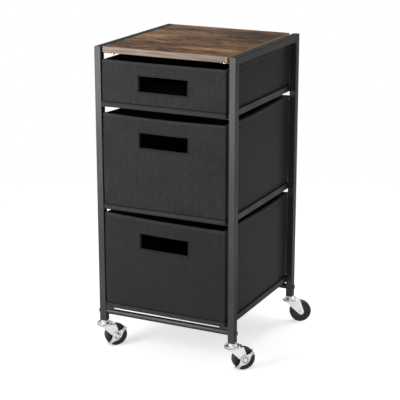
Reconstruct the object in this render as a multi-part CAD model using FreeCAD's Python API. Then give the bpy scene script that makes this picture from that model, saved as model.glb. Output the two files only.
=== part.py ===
"""Rolling drawer cart: a black steel frame on four swivel casters, with a wood top and three
fabric bins that slide forward on steel runners.

Millimetres. +Z is up, the front faces -Y, and the origin is on the floor under the frame's middle.
"""
import FreeCAD
import Part
import math
import os

Vector = FreeCAD.Vector
X_AXIS = Vector(1, 0, 0)
Y_AXIS = Vector(0, 1, 0)
Z_AXIS = Vector(0, 0, 1)
ORIGIN = Vector(0, 0, 0)

# Side frames: square steel tube, mitred at the top corners
frame_width = 330.0
frame_depth = 340.0
tube_size = 16.0
tube_wall = 1.2
tube_corner = 2.0

# Bays, measured down from the frame's top and then from ledge to ledge
upper_bay = 127.5
deep_bay = 226.8

# Runners: folded steel angle on the legs' inner faces, with a stop at the rear
sheet = 1.2
runner_height = 12.7
ledge_width = 20.5
runner_front_inset = 2.0
lip_height = 5.0

# Crossbars: round tube between the legs, bolted at each end
bar_diameter = 12.7
bar_wall = 1.0
bar_gap = 6.35
plug_length = 18.0
plug_fit = 0.05
bolt_diameter = 6.0
bolt_hole_clearance = 0.2
bolt_thread_length = 14.0
bolt_head_diameter = 11.5
bolt_head_height = 3.0
bolt_head_round = 1.2
hex_key_size = 4.0
hex_key_depth = 1.8
bolt_above_socket = 6.0

# Top board, its front edge band, and the tabs and screws that hold it
board_thickness = 13.0
board_gap_left = 2.0
board_gap_right = 8.0
board_front_inset = 5.0
edge_band_thickness = 1.0
tab_thickness = 2.0
tab_width = 18.0
tab_front_inset = 12.0
tab_past_screw = 8.0
screw_from_edge = 11.0
screw_diameter = 4.0
screw_head_diameter = 8.0
screw_head_height = 2.5
screw_bite = 8.0
screw_hole_clearance = 0.2
screw_fit = 0.05

# Fabric bins
bin_side_gap = 3.8
bin_front_proud = 3.0
bin_clearance = 0.3
rim_gap = 12.0
screw_head_gap = 8.6
bin_corner = 5.0
least_corner = 0.6
skin = 1.2
wall_board = 2.4
lining = 0.8
board_fit = 0.1
trim = 0.8
hem_height = 8.0
band_height = 9.5
corner_fold = 1.0
base_board_thickness = 3.0
base_board_gap = 0.8
slot_width = 115.0
slot_height = 34.0
slot_hem = 3.0
shallow_slot_drop = 28.0
deep_slot_drop = 33.0

# Casters
wheel_diameter = 50.0
wheel_width = 18.0
tyre_shoulder = 5.0
tyre_depth = 8.0
tyre_fit = 0.02
hub_proud = 1.0
hub_diameter = 16.0
web_thickness = 11.0
core_rim = 2.5
trail = 25.0
wheel_gap = 1.5
fork_sheet = 2.0
fork_side_gap = 0.2
crown_diameter = 35.0
crown_front = 14.0
crown_rear = 22.6
cheek_end_radius = 6.5
axle_diameter = 6.0
running_fit = 0.05
axle_head_diameter = 10.0
axle_head_height = 1.8
axle_head_round = 1.0
race_gap = 1.0
race_diameter = 24.0
ball_diameter = 3.0
ball_clearance = 0.1
balls_per_race = 14
cup_diameter = 34.0
cup_thickness = 2.5
cup_round = 0.8
dome_height = 2.0
dome_edge = 2.0
collar_diameter = 17.0
collar_height = 6.0
stem_diameter = 8.0
stem_length = 15.0
stem_fit = 0.05
socket_length = 16.0
socket_fit = 0.05
kingpin_diameter = 7.0
kingpin_head_diameter = 12.0
kingpin_head_height = 1.5
kingpin_head_gap = 0.1

# Brake levers of the front casters
lever_thickness = 2.0
lever_width = 8.0
lever_boss_diameter = 16.0
lever_side_gap = 0.3
lever_round = 1.5
pad_gap = 1.0
pad_width = 6.0
lever_rest_angle = 42.0

# Rest directions of the casters' trail, in degrees from +X towards +Y
swivel_rest = {"front_left": 46.0, "front_right": 44.0, "rear_left": 40.0, "rear_right": 33.0}

# Extra depth of a cut past the face that it leaves through
overcut = 1.0

# Heights worked out from the floor up
wheel_radius = wheel_diameter / 2
crown_bottom = wheel_diameter + wheel_gap
crown_top = crown_bottom + fork_sheet
cup_bottom = crown_top + race_gap
cup_top = cup_bottom + cup_thickness
leg_bottom = cup_top + collar_height
bar_height = leg_bottom + socket_length + bolt_above_socket
lower_ledge = bar_height + bar_diameter / 2 + bar_gap + sheet
middle_ledge = lower_ledge + deep_bay
upper_ledge = middle_ledge + deep_bay
frame_top = upper_ledge + upper_bay
board_bottom = frame_top - board_thickness

# Plan positions
half_width = frame_width / 2
half_depth = frame_depth / 2
inner_face = half_width - tube_size
leg_x = half_width - tube_size / 2
leg_y = half_depth - tube_size / 2
runner_front = -half_depth + runner_front_inset
runner_rear = half_depth
screw_x = inner_face - board_gap_right - screw_from_edge
tab_front = -half_depth + tab_front_inset
screw_y = tab_front + tab_width / 2
bin_half_width = inner_face - sheet - bin_side_gap
bin_front = -half_depth - bin_front_proud
bin_back = runner_rear - sheet - bin_clearance
bin_wall = skin + wall_board + 2 * board_fit + lining

# Each bin: the ledge that it sits on, its height, and how far below the rim its hand slot starts
deep_height = deep_bay - sheet - rim_gap - bin_clearance
shallow_height = (
    upper_bay - bin_clearance - board_thickness - tab_thickness - screw_head_height - screw_head_gap
)
bins = {
    "upper": (upper_ledge, shallow_height, shallow_slot_drop),
    "middle": (middle_ledge, deep_height, deep_slot_drop),
    "lower": (lower_ledge, deep_height, deep_slot_drop),
}

# Sides of the four corners: -1 is left or front, +1 is right or rear
corners = {
    "front_left": (-1, -1),
    "front_right": (1, -1),
    "rear_left": (-1, 1),
    "rear_right": (1, 1),
}
braked = ("front_left", "front_right")

# Fork and wheel widths, measured from the wheel's middle
hub_width = wheel_width + 2 * hub_proud
cheek_inner = hub_width / 2 + fork_side_gap
cheek_outer = cheek_inner + fork_sheet
lever_inner = cheek_outer + lever_side_gap
lever_outer = lever_inner + lever_thickness


def block(low, high):
    """Box between two opposite corners."""
    size = [b - a for a, b in zip(low, high)]
    return Part.makeBox(*size, Vector(*low))


def rounded_block(low, high, radius, axis=Z_AXIS):
    """Box whose four edges along one axis are rounded."""
    solid = block(low, high)
    along = [e for e in solid.Edges if abs(e.tangentAt(e.FirstParameter).dot(axis)) > 0.99]
    return solid.makeFillet(radius, along)


def rod(start, axis, diameter, length):
    """Round bar from a start point along an axis."""
    return Part.makeCylinder(diameter / 2, length, Vector(*start), axis)


def turned(outline):
    """Solid of revolution about Z from a closed outline of (radius, height) pairs."""
    points = [Vector(r, 0, h) for r, h in outline]
    wire = Part.makePolygon(points + points[:1])
    return Part.Face(wire).revolve(ORIGIN, Z_AXIS, 360)


def prism(points, push):
    """Solid pushed out from a flat outline of points by a vector."""
    corners_3d = [Vector(*p) for p in points]
    wire = Part.makePolygon(corners_3d + corners_3d[:1])
    return Part.Face(wire).extrude(push)


def circles(shape, diameter):
    """Round edges of a shape that have one diameter."""
    found = []
    for edge in shape.Edges:
        if isinstance(edge.Curve, Part.Circle) and abs(edge.Curve.Radius - diameter / 2) < 1e-4:
            found.append(edge)
    return found


def to_corner(shape, side, end):
    """Copy of a front right piece, mirrored to another corner of the frame."""
    if side < 0:
        shape = shape.mirror(ORIGIN, X_AXIS)
    if end > 0:
        shape = shape.mirror(ORIGIN, Y_AXIS)
    return shape


def at_all_corners(shape):
    """Group of a front right piece and its copies at the other corners."""
    return Part.makeCompound([to_corner(shape, side, end) for side, end in corners.values()])


def square_tube(low, high, axis):
    """Square tube with rounded corners, open at both ends along its axis."""
    wall = Vector(tube_wall, tube_wall, tube_wall)
    run = (axis * (tube_wall + overcut))
    bore_low = Vector(*low) + wall - run
    bore_high = Vector(*high) - wall + run
    outside = rounded_block(low, high, tube_corner, axis)
    bore = rounded_block(bore_low, bore_high, max(tube_corner - tube_wall, least_corner / 2), axis)
    return outside.cut(bore)


def mitre(front_kept):
    """Wedge that cuts the front right corner of the frame's side on its 45 degree mitre.

    The leg keeps what is below the mitre, and the rail what is above it.
    """
    out = (inner_face - overcut, -half_depth - overcut, frame_top + overcut)
    into = (inner_face - overcut, -half_depth + tube_size + overcut, frame_top - tube_size - overcut)
    if front_kept:
        third = (out[0], into[1], out[2])
    else:
        third = (out[0], out[1], into[2])
    return prism([out, into, third], X_AXIS * (tube_size + 2 * overcut))


def make_leg():
    """Front right leg, mitred at the top, with a cross hole for the crossbar's bolt."""
    low = (inner_face, -half_depth, leg_bottom)
    high = (half_width, -half_depth + tube_size, frame_top)
    tube = square_tube(low, high, Z_AXIS).cut(mitre(True))
    start = (inner_face - overcut, -leg_y, bar_height)
    return tube.cut(rod(start, X_AXIS, bolt_diameter + 2 * bolt_hole_clearance, tube_size + 2 * overcut))


def make_top_rail():
    """Right top rail, mitred at both ends to meet the legs."""
    low = (inner_face, -half_depth, frame_top - tube_size)
    high = (half_width, half_depth, frame_top)
    wedge = mitre(False)
    return square_tube(low, high, Y_AXIS).cut(wedge).cut(wedge.mirror(ORIGIN, Y_AXIS))


def make_runner(ledge, with_lip):
    """Right runner: upright flange, ledge and rear stop, and on the lowest one a front lip."""
    inner_edge = inner_face - ledge_width
    below = ledge - sheet
    above = below + runner_height
    solid = block((inner_edge, runner_front, below), (inner_face, runner_rear, ledge))
    solid = solid.fuse(block((inner_face - sheet, runner_front, below), (inner_face, runner_rear, above)))
    solid = solid.fuse(block((inner_edge, runner_rear - sheet, below), (inner_face, runner_rear, above)))
    if with_lip:
        lip_low = (inner_edge, runner_front, below - lip_height)
        solid = solid.fuse(block(lip_low, (inner_face, runner_front + sheet, ledge)))
    return solid.removeSplitter()


def make_crossbar():
    """Front crossbar: a round tube that butts against the legs' inner faces."""
    start = (-inner_face, -leg_y, bar_height)
    tube = rod(start, X_AXIS, bar_diameter, 2 * inner_face)
    return tube.cut(rod(start, X_AXIS, bar_diameter - 2 * bar_wall, 2 * inner_face))


def make_plug():
    """Threaded plug in the right end of the front crossbar."""
    start = (inner_face - plug_length, -leg_y, bar_height)
    body = rod(start, X_AXIS, bar_diameter - 2 * (bar_wall + plug_fit), plug_length)
    return body.cut(rod(start, X_AXIS, bolt_diameter + 2 * plug_fit, plug_length))


def make_bolt():
    """Button-head bolt through the front right leg into the crossbar's plug."""
    head = Part.makeCylinder(bolt_head_diameter / 2, bolt_head_height)
    rim = [e for e in circles(head, bolt_head_diameter) if e.CenterOfMass.z > bolt_head_height / 2]
    head = head.makeFillet(bolt_head_round, rim)
    flats = [math.radians(60 * k) for k in range(6)]
    reach = hex_key_size / math.sqrt(3)
    hexagon = [(reach * math.cos(a), reach * math.sin(a), bolt_head_height - hex_key_depth) for a in flats]
    head = head.cut(prism(hexagon, Z_AXIS * hex_key_depth))
    shank_length = tube_size + bolt_thread_length
    shank = rod((0, 0, -shank_length), Z_AXIS, bolt_diameter, shank_length)
    bolt = head.fuse(shank).rotated(ORIGIN, Y_AXIS, 90)
    return bolt.translated(Vector(half_width, -leg_y, bar_height))


def make_socket():
    """Stem socket in the lower end of the front right leg."""
    half = tube_size / 2 - tube_wall - socket_fit
    low = (leg_x - half, -leg_y - half, leg_bottom)
    high = (leg_x + half, -leg_y + half, leg_bottom + socket_length)
    body = rounded_block(low, high, max(tube_corner - tube_wall, least_corner / 2))
    bore = rod((leg_x, -leg_y, leg_bottom), Z_AXIS, stem_diameter + 2 * stem_fit, socket_length)
    return body.cut(bore)


def make_tab():
    """Front right tab under the top board, welded to the top rail and the leg."""
    low = (screw_x - tab_past_screw, tab_front, board_bottom - tab_thickness)
    high = (inner_face, tab_front + tab_width, board_bottom)
    hole = rod((screw_x, screw_y, low[2]), Z_AXIS, screw_diameter + 2 * screw_hole_clearance, tab_thickness)
    return block(low, high).cut(hole)


def make_screw():
    """Screw up through the front right tab into the board."""
    under = board_bottom - tab_thickness
    head = rod((screw_x, screw_y, under - screw_head_height), Z_AXIS, screw_head_diameter, screw_head_height)
    rim = [e for e in circles(head, screw_head_diameter) if e.CenterOfMass.z < under - screw_head_height / 2]
    head = head.makeFillet(screw_head_height / 2, rim)
    return head.fuse(rod((screw_x, screw_y, under), Z_AXIS, screw_diameter, tab_thickness + screw_bite))


def make_board():
    """Top board without its front edge band, with blind holes for the screws."""
    low = (-inner_face + board_gap_left, -half_depth + board_front_inset + edge_band_thickness, board_bottom)
    high = (inner_face - board_gap_right, half_depth, frame_top)
    hole = rod((screw_x, screw_y, board_bottom), Z_AXIS, screw_diameter + 2 * screw_fit, screw_bite + screw_fit)
    return block(low, high).cut(at_all_corners(hole))


def make_edge_band():
    """Band on the front edge of the top board."""
    front = -half_depth + board_front_inset
    low = (-inner_face + board_gap_left, front, board_bottom)
    return block(low, (inner_face - board_gap_right, front + edge_band_thickness, frame_top))


def bin_plan(inset, bottom, top):
    """Upright block with the bin's plan, moved in from its outside by an inset."""
    low = (-bin_half_width + inset, bin_front + inset, bottom)
    high = (bin_half_width - inset, bin_back - inset, top)
    return rounded_block(low, high, max(bin_corner - inset, least_corner))


def wall_slabs(bottom, top, clearance):
    """The four upright slabs of a bin's stiffening boards, front slab first."""
    near = trim + skin + clearance
    far = trim + skin + wall_board + 2 * board_fit - clearance
    end = trim + bin_wall + corner_fold + clearance
    x_end = bin_half_width - end
    slabs = [
        block((-x_end, bin_front + near, bottom), (x_end, bin_front + far, top)),
        block((-x_end, bin_back - far, bottom), (x_end, bin_back - near, top)),
    ]
    for side in (-1, 1):
        xs = sorted((side * (bin_half_width - near), side * (bin_half_width - far)))
        slabs.append(block((xs[0], bin_front + end, bottom), (xs[1], bin_back - end, top)))
    return slabs


def hand_slot(rim, drop, grow):
    """Block through the front wall at the hand slot, grown on all four sides."""
    half = slot_width / 2 + grow
    low = (-half, bin_front - overcut, rim - drop - slot_height - grow)
    return block(low, (half, bin_front + trim + bin_wall + overcut, rim - drop + grow))


def make_bin(ledge, height, drop):
    """Pieces of one bin: fabric shell, wall boards, base board, rim binding and bottom band."""
    bottom = ledge + bin_clearance
    rim = bottom + height
    shell_top = rim - trim
    floor_top = bottom + skin
    hem_bottom = rim - hem_height

    pockets = wall_slabs(floor_top, rim, 0.0)
    pockets[0] = pockets[0].cut(hand_slot(rim, drop, slot_hem))
    shell = bin_plan(trim, bottom, shell_top).cut(bin_plan(trim + bin_wall, floor_top, rim))
    shell = shell.cut(pockets).cut(hand_slot(rim, drop, 0.0))

    boards = wall_slabs(floor_top, shell_top, board_fit)
    boards[0] = boards[0].cut(hand_slot(rim, drop, slot_hem + board_fit))

    base_inset = trim + bin_wall + base_board_gap
    base = bin_plan(base_inset, floor_top, floor_top + base_board_thickness)

    held_wall = bin_plan(trim, hem_bottom, shell_top).cut(bin_plan(trim + bin_wall, hem_bottom, shell_top))
    binding = bin_plan(0.0, hem_bottom, rim).cut(bin_plan(2 * trim + bin_wall, hem_bottom, rim))
    binding = binding.cut(held_wall)

    band_top = bottom + band_height
    band = bin_plan(0.0, bottom, band_top).cut(bin_plan(trim, bottom, band_top))
    return {
        "shell": shell,
        "wall_boards": Part.makeCompound(boards),
        "base_board": base,
        "rim_binding": binding,
        "bottom_band": band,
    }


def ball_places():
    """Centres of the balls in one swivel race, about the swivel axis."""
    turns = [2 * math.pi * k / balls_per_race for k in range(balls_per_race)]
    radius = race_diameter / 2
    middle = crown_top + race_gap / 2
    return [Vector(radius * math.cos(a), radius * math.sin(a), middle) for a in turns]


def ball_groove():
    """Ring that cuts the ball track into the cup and the crown."""
    middle = Vector(0, 0, crown_top + race_gap / 2)
    return Part.makeTorus(race_diameter / 2, ball_diameter / 2 + ball_clearance, middle, Z_AXIS)


def make_stem():
    """Caster stem, collar, race cup and kingpin, turned as one piece about the swivel axis."""
    head_top = crown_bottom - kingpin_head_gap
    head_bottom = head_top - kingpin_head_height
    stem = turned([
        (0, head_bottom),
        (kingpin_head_diameter / 2, head_bottom),
        (kingpin_head_diameter / 2, head_top),
        (kingpin_diameter / 2, head_top),
        (kingpin_diameter / 2, cup_bottom),
        (cup_diameter / 2, cup_bottom),
        (cup_diameter / 2, cup_top),
        (cup_diameter / 2 - dome_edge, cup_top),
        (collar_diameter / 2, cup_top + dome_height),
        (collar_diameter / 2, leg_bottom),
        (stem_diameter / 2, leg_bottom),
        (stem_diameter / 2, leg_bottom + stem_length),
        (0, leg_bottom + stem_length),
    ])
    return stem.makeFillet(cup_round, circles(stem, cup_diameter)).cut(ball_groove())


def tangent_point(start, centre, radius, side):
    """Point of a circle where a line from an outside point touches it, on one side of the centre line."""
    dx = start[0] - centre[0]
    dz = start[1] - centre[1]
    angle = math.atan2(dz, dx) + side * math.acos(radius / math.hypot(dx, dz))
    return (centre[0] + radius * math.cos(angle), centre[1] + radius * math.sin(angle))


def make_fork():
    """Pressed fork: a round crown under the cup and two cheeks that taper to the axle."""
    crown = rod((0, 0, crown_bottom), Z_AXIS, crown_diameter, fork_sheet)
    crown = crown.fuse(block((-crown_front, -cheek_outer, crown_bottom), (crown_rear, cheek_outer, crown_top)))
    axle = (trail, wheel_radius)
    front_touch = tangent_point((-crown_front, crown_top), axle, cheek_end_radius, 1)
    rear_touch = tangent_point((crown_rear, crown_top), axle, cheek_end_radius, -1)
    outline = [(-crown_front, crown_top), front_touch, rear_touch, (crown_rear, crown_top)]
    cheek = prism([(x, cheek_inner, z) for x, z in outline], Y_AXIS * fork_sheet)
    cheek = cheek.fuse(rod((trail, cheek_inner, wheel_radius), Y_AXIS, 2 * cheek_end_radius, fork_sheet))
    fork = crown.fuse([cheek, cheek.mirror(ORIGIN, Y_AXIS)]).removeSplitter()
    axle_hole = rod((trail, -cheek_outer, wheel_radius), Y_AXIS, axle_diameter, 2 * cheek_outer)
    pin_hole = rod((0, 0, crown_bottom), Z_AXIS, kingpin_diameter + 2 * running_fit, fork_sheet)
    return fork.cut([axle_hole, pin_hole, ball_groove()])


def on_axle(shape):
    """Lay a piece turned about Z onto the wheel's axle, its top towards +Y."""
    return shape.rotated(ORIGIN, X_AXIS, -90).translated(Vector(trail, 0, wheel_radius))


def make_axle(has_lever):
    """Riveted axle through the fork's cheeks, longer where it also carries a brake lever."""
    low = lever_outer if has_lever else cheek_outer
    shank = Part.makeCylinder(axle_diameter / 2, low + cheek_outer, Vector(0, 0, -low))
    pieces = []
    for height, out in ((cheek_outer, 1), (-low, -1)):
        head = rod((0, 0, height), Z_AXIS * out, axle_head_diameter, axle_head_height)
        rim = [e for e in circles(head, axle_head_diameter) if out * (e.CenterOfMass.z - height) > axle_head_round]
        pieces.append(head.makeFillet(axle_head_round, rim))
    return on_axle(shank.fuse(pieces).removeSplitter())


def make_core():
    """Wheel core: a hub, a thin web and the rim that the tyre sits on."""
    rim_radius = wheel_radius - tyre_depth
    rim_half = wheel_width / 2 - hub_proud
    inside = rim_radius - core_rim
    bore = axle_diameter / 2 + running_fit
    half = [
        (bore, hub_width / 2),
        (hub_diameter / 2, hub_width / 2),
        (hub_diameter / 2, web_thickness / 2),
        (inside, web_thickness / 2),
        (inside, rim_half),
        (rim_radius, rim_half),
    ]
    return on_axle(turned(half + [(r, -h) for r, h in reversed(half)]))


def make_tyre():
    """Solid tyre with rounded shoulders."""
    inner = wheel_radius - tyre_depth + tyre_fit
    half = wheel_width / 2
    ring = turned([(inner, -half), (wheel_radius, -half), (wheel_radius, half), (inner, half)])
    return on_axle(ring.makeFillet(tyre_shoulder, circles(ring, wheel_diameter)))


def make_lever():
    """Brake lever: a boss on the axle and two arms whose ends turn in over the tread."""
    pad_low = wheel_radius + pad_gap
    reach = pad_low + lever_thickness
    half = lever_width / 2
    plate = rounded_block((-reach, -half, -lever_outer), (reach, half, -lever_inner), lever_round)
    boss = rod((0, 0, -lever_outer), Z_AXIS, lever_boss_diameter, lever_thickness)
    lever = plate.fuse(boss)
    for side in (-1, 1):
        xs = sorted((side * pad_low, side * reach))
        pad = block((xs[0], -half + lever_round, -lever_outer), (xs[1], half - lever_round, -lever_inner + pad_width))
        lever = lever.fuse(pad)
    bore = rod((0, 0, -lever_outer), Z_AXIS, axle_diameter + 2 * running_fit, lever_thickness)
    lever = lever.removeSplitter().cut(bore)
    return on_axle(lever.rotated(ORIGIN, Z_AXIS, -lever_rest_angle))


def at_caster(shape, corner):
    """Turn a caster piece to its rest direction and set it under its leg."""
    side, end = corners[corner]
    turned_piece = shape.rotated(ORIGIN, Z_AXIS, swivel_rest[corner])
    return turned_piece.translated(Vector(side * leg_x, end * leg_y, 0))


nodes = {}

for corner, (side, end) in corners.items():
    nodes[corner + "_leg"] = to_corner(make_leg(), side, end)

for name, side in (("left", -1), ("right", 1)):
    nodes[name + "_top_rail"] = to_corner(make_top_rail(), side, -1)
    for level, (ledge, height, drop) in bins.items():
        runner = make_runner(ledge, level == "lower")
        nodes[level + "_" + name + "_runner"] = to_corner(runner, side, -1)

for name, end in (("front", -1), ("rear", 1)):
    nodes[name + "_crossbar"] = to_corner(make_crossbar(), 1, end)

nodes["crossbar_plugs"] = at_all_corners(make_plug())
nodes["crossbar_bolts"] = at_all_corners(make_bolt())
nodes["leg_sockets"] = at_all_corners(make_socket())
nodes["board_tabs"] = at_all_corners(make_tab())
nodes["board_screws"] = at_all_corners(make_screw())
nodes["top_board"] = make_board()
nodes["top_board_edge_band"] = make_edge_band()

for level, sizes in bins.items():
    for piece, shape in make_bin(*sizes).items():
        nodes[level + "_bin_" + piece] = shape

balls = []
for corner in corners:
    nodes[corner + "_caster_stem"] = at_caster(make_stem(), corner)
    nodes[corner + "_caster_fork"] = at_caster(make_fork(), corner)
    nodes[corner + "_caster_axle"] = at_caster(make_axle(corner in braked), corner)
    nodes[corner + "_wheel_core"] = at_caster(make_core(), corner)
    nodes[corner + "_tyre"] = at_caster(make_tyre(), corner)
    if corner in braked:
        nodes[corner + "_brake_lever"] = at_caster(make_lever(), corner)
    for centre in ball_places():
        balls.append(at_caster(Part.makeSphere(ball_diameter / 2, centre), corner))
nodes["swivel_balls"] = Part.makeCompound(balls)

os.makedirs("parts", exist_ok=True)
for name, shape in nodes.items():
    shape.exportStep("parts/" + name + ".step")
print(len(nodes), "nodes,", round(frame_top, 2), "mm to the frame's top")
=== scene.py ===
"""Looks of a rolling drawer cart: black steel side frames, a wood top, three fabric bins and four
swivel casters. Metres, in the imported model's own frame: +Z up, front towards -Y, floor at zero."""
import math

import bmesh
import bpy
import numpy as np
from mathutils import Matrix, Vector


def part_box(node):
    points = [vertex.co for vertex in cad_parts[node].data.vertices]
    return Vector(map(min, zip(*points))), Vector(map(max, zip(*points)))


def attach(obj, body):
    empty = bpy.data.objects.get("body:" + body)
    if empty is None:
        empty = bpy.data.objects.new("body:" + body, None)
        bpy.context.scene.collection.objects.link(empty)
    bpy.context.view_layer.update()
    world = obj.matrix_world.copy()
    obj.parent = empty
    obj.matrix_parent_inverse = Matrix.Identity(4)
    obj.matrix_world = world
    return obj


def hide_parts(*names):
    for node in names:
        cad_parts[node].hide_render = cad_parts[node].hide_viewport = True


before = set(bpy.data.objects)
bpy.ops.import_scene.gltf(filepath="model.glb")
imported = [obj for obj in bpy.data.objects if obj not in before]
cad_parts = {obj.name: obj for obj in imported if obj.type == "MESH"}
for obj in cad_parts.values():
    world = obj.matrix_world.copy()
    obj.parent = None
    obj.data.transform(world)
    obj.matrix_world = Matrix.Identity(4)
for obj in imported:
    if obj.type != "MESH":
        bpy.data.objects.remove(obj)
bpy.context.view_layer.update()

# Side frames: each is two legs and a top rail of square steel tube, mitred and welded together.
# The welds are ground flush, and the frame is powder coated satin black with a fine orange peel.

coat_dark = (65, 65, 66)
coat_light = (72, 72, 73)
edge_glare = (0.35, 0.35, 0.35, 1)
peel_lumps = 1100
peel_depth = 0.00006


class Shade:
    """A shader output that joins in Python sums: each operator adds the Math node that it stands for."""

    def __init__(self, tree, socket=None):
        self.tree = tree
        self.socket = socket

    def node(self, kind, settings=(), inputs=(), output=0):
        """Add a node of a kind: its settings first, then a value or a link for each of its sockets."""
        made = self.tree.nodes.new("ShaderNode" + kind)
        for name, value in dict(settings).items():
            if name == "stops":
                for position, _ in value[1:-1]:
                    made.color_ramp.elements.new(position)
                for element, (position, colour) in zip(made.color_ramp.elements, value):
                    element.position = position
                    element.color = colour
            else:
                setattr(made, name, value)
        for key, value in dict(inputs).items():
            if isinstance(value, Shade):
                self.tree.links.new(value.socket, made.inputs[key])
            else:
                made.inputs[key].default_value = value
        return Shade(self.tree, made.outputs[output])

    def math(self, operation, *values):
        return self.node("Math", {"operation": operation}, dict(enumerate(values)))

    def vector(self, operation, *values, output=0):
        return self.node("VectorMath", {"operation": operation}, dict(enumerate(values)), output)

    def __add__(self, other):
        return self.math("ADD", self, other)

    def __sub__(self, other):
        return self.math("SUBTRACT", self, other)

    def __rsub__(self, other):
        return self.math("SUBTRACT", other, self)

    def __mul__(self, other):
        return self.math("MULTIPLY", self, other)

    def __abs__(self):
        return self.math("ABSOLUTE", self)

    __radd__ = __add__
    __rmul__ = __mul__

    def sine(self):
        return self.math("SINE", self)

    def at_most(self, most):
        return self.math("MINIMUM", self, most)

    def length(self):
        return self.vector("LENGTH", self, output="Value")

    def part(self, axis):
        """One number of this vector: its X, Y or Z for 0, 1 or 2."""
        return self.node("SeparateXYZ", {}, {0: self}, axis)

    def noise(self, lumps, detail=2.0, roughness=0.5, output=0):
        """Soft noise along these coordinates: lumps to the metre, all alike or one number each way."""
        place = self.node("Mapping", {}, {"Vector": self, "Scale": np.broadcast_to(lumps, 3).tolist()})
        inputs = {"Vector": place, "Scale": 1, "Detail": detail, "Roughness": roughness}
        return self.node("TexNoise", {}, inputs, output)

    def ease(self, low, high):
        """0 at low and beyond it, 1 at high and beyond it, and a smooth step between."""
        settings = {"interpolation_type": "SMOOTHSTEP"}
        return self.node("MapRange", settings, {"Value": self, "From Min": low, "From Max": high})

    def blend(self, first, second):
        """Mix of two colours, by this value as the share of the second: each an output or a paint."""
        first, second = (c if isinstance(c, Shade) else linear(*c) for c in (first, second))
        return self.node("Mix", {"data_type": "RGBA"}, {0: self, 6: first, 7: second}, 2)

    def bump(self, depth):
        """Normal of a surface that this height, times a depth in metres, stands up from."""
        return self.node("Bump", {}, {"Height": self, "Distance": depth, "Strength": 1})

    def feed(self, socket, node="Principled BSDF"):
        """Lead this output into a socket of the material's shader, or of another node by name."""
        self.tree.links.new(self.socket, self.tree.nodes[node].inputs[socket])


def linear(red, green, blue):
    """Linear colour of a paint given by its display values, from 0 to 255."""
    shown = np.array([red, green, blue]) / 255
    light = np.where(shown < 0.0405, shown / 12.92, ((shown + 0.055) / 1.055) ** 2.4)
    return (*light.tolist(), 1.0)


def new_finish(name, coordinates="Object", **constants):
    """New material with constant shader sockets set, and the coordinates that its pattern reads."""
    material = bpy.data.materials.new(name)
    material.use_nodes = True
    sockets = material.node_tree.nodes["Principled BSDF"].inputs
    for socket, value in constants.items():
        sockets[socket.replace("_", " ")].default_value = value
    return material, Shade(material.node_tree).node("TexCoord", output=coordinates)


def dress(material, *names):
    """Give CAD nodes, which keep their shape, a finish."""
    for name in names:
        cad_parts[name].data.materials.clear()
        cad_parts[name].data.materials.append(material)


def powder_coat():
    """Black powder coat: a part-metallic satin sheen, with little glare where it is seen edge on.

    The orange peel is a millimetre across, and the gloss drifts over a hand's width.
    """
    gloss = {"Metallic": 0.6, "Specular_IOR_Level": 0.0, "Specular_Tint": edge_glare}
    material, place = new_finish("black_powder_coat", **gloss)
    drift = place.noise((14, 14, 9), 3)
    drift.ease(0.3, 0.7).blend(coat_dark, coat_light).feed("Base Color")
    (0.36 + 0.1 * drift).feed("Roughness")
    place.noise(peel_lumps, 1).bump(peel_depth).feed("Normal")
    return material


black_coat = powder_coat()
corners = [f"{end}_{side}" for end in ("front", "rear") for side in ("left", "right")]
dress(black_coat, *[corner + "_leg" for corner in corners], "left_top_rail", "right_top_rail")

# Runners: steel sheet folded to an angle, welded to the legs' inner faces and coated with them.
# A bin's bottom edges slide on the ledge, and a tab folded up at the rear stops the bin.

levels = ("upper", "middle", "lower")
dress(black_coat, *[f"{level}_{side}_runner" for level in levels for side in ("left", "right")])

# Crossbars: round steel tube between the legs, front and rear, with a threaded plug in each end.
# A blackened button-head bolt goes through the leg into each plug.

cloud_lumps = 60
cloud_lift = 10
scratch_lumps = 900
scratch_depth = 0.00002


def clouded(place, colour):
    """Clouds in a metal's gloss, and its colour, a little lighter in the clouds."""
    cloud = place.noise(cloud_lumps, 4, 0.6)
    lighter = [value + cloud_lift for value in colour]
    return cloud, cloud.ease(0.25, 0.75).blend(colour, lighter)


def plain_metal(name, colour, low_rough, high_rough):
    """Bare or plated steel: clouded gloss, and fine scratches that lie every way."""
    material, place = new_finish(name, Metallic=1.0)
    cloud, tone = clouded(place, colour)
    tone.feed("Base Color")
    (low_rough + (high_rough - low_rough) * cloud).feed("Roughness")
    place.noise(scratch_lumps, 3).bump(scratch_depth).feed("Normal")
    return material


dress(black_coat, "front_crossbar", "rear_crossbar")
dress(plain_metal("black_oxide", (48, 48, 50), 0.3, 0.5), "crossbar_bolts")
dress(plain_metal("plain_steel", (150, 150, 148), 0.3, 0.5), "crossbar_plugs")

# Top board: particle board with a printed wood paper on both faces, raw at its cut sides and back.
# A paler band is glued to the front edge, and stops short of the right end, where the core shows.
# The board lies on four coated tabs, and a bright pan-head screw goes up through each into it.

board_ease = 0.0006
paper_slope = 0.7
band_short = 0.0035
screw_inset = 0.004
screw_head = 0.0041
screw_head_height = 0.004
screw_head_dome = 0.0037
screw_head_edge = 0.0021
screw_shank = 0.002
screw_point = 0.003
plank_seams = (-0.082, 0.028, 0.098)
plank_tones = (0.44, 0.5, 0.5, 0.46)
seam_step = 0.003
sway_size = 0.022
# Ovals on the print, each with its middle's X and Y, half its length and half its width.
pale_wood = ((-0.115, 0.0, 0.1, 0.06), (0.06, -0.1, 0.1, 0.025), (0.128, -0.1, 0.055, 0.045))
dull_wood = ((0.13, 0.07, 0.16, 0.1), (-0.03, -0.07, 0.16, 0.02))
knots = ((-0.075, 0.118, 0.034, 0.018), (0.052, -0.022, 0.026, 0.012), (0.095, -0.13, 0.018, 0.009))
knot_waves = 15
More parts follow.
